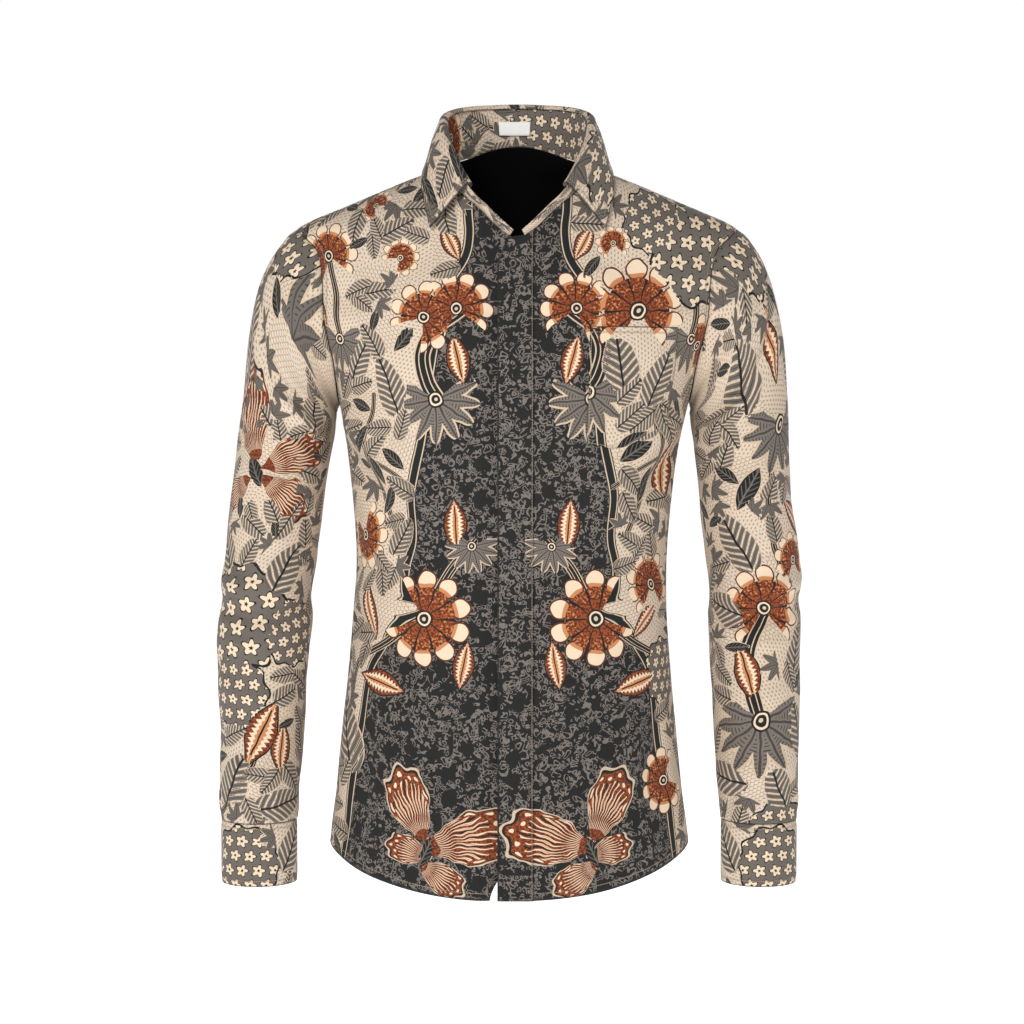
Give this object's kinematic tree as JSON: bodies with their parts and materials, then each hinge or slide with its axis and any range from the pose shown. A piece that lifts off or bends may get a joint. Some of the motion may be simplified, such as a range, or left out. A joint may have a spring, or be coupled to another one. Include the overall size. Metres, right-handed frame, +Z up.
{
  "type": "batik shirt",
  "caption": "Slim long-sleeved printed shirt, filled out as worn: turn-down collar, hidden-button fly, patch pocket, cuffs, curved tails, open and hollow inside.",
  "frame": {"origin": "middle of the neck's base, level with the point where the shoulder seams meet the collar stand", "axes": "+Z up along the wearer's spine, -Y to the front, +X to the wearer's left"},
  "size_m": [0.581, 0.2545, 0.7841],
  "materials": {
    "printed_body": "matt printed cotton shirting, dark centre with cream and rust flowers",
    "printed_sleeve": "matt printed cotton shirting, cream with grey and rust flowers",
    "printed_collar": "matt printed cotton shirting, interlined and topstitched",
    "label_tape": "white satin woven tape, bare",
    "button": "dark polyester shirt button"
  },
  "bodies": {
    "root": {"front_right": "printed_body", "front_left": "printed_body", "placket": "printed_body", "back": "printed_body", "pocket": "printed_body", "sleeve_left": "printed_sleeve", "sleeve_right": "printed_sleeve", "cuff_left": "printed_sleeve", "cuff_right": "printed_sleeve", "collar_stand": "printed_collar", "collar": "printed_collar", "neck_label": "label_tape", "cuff_button_left": "button", "cuff_button_right": "button"}
  },
  "joints": []
}
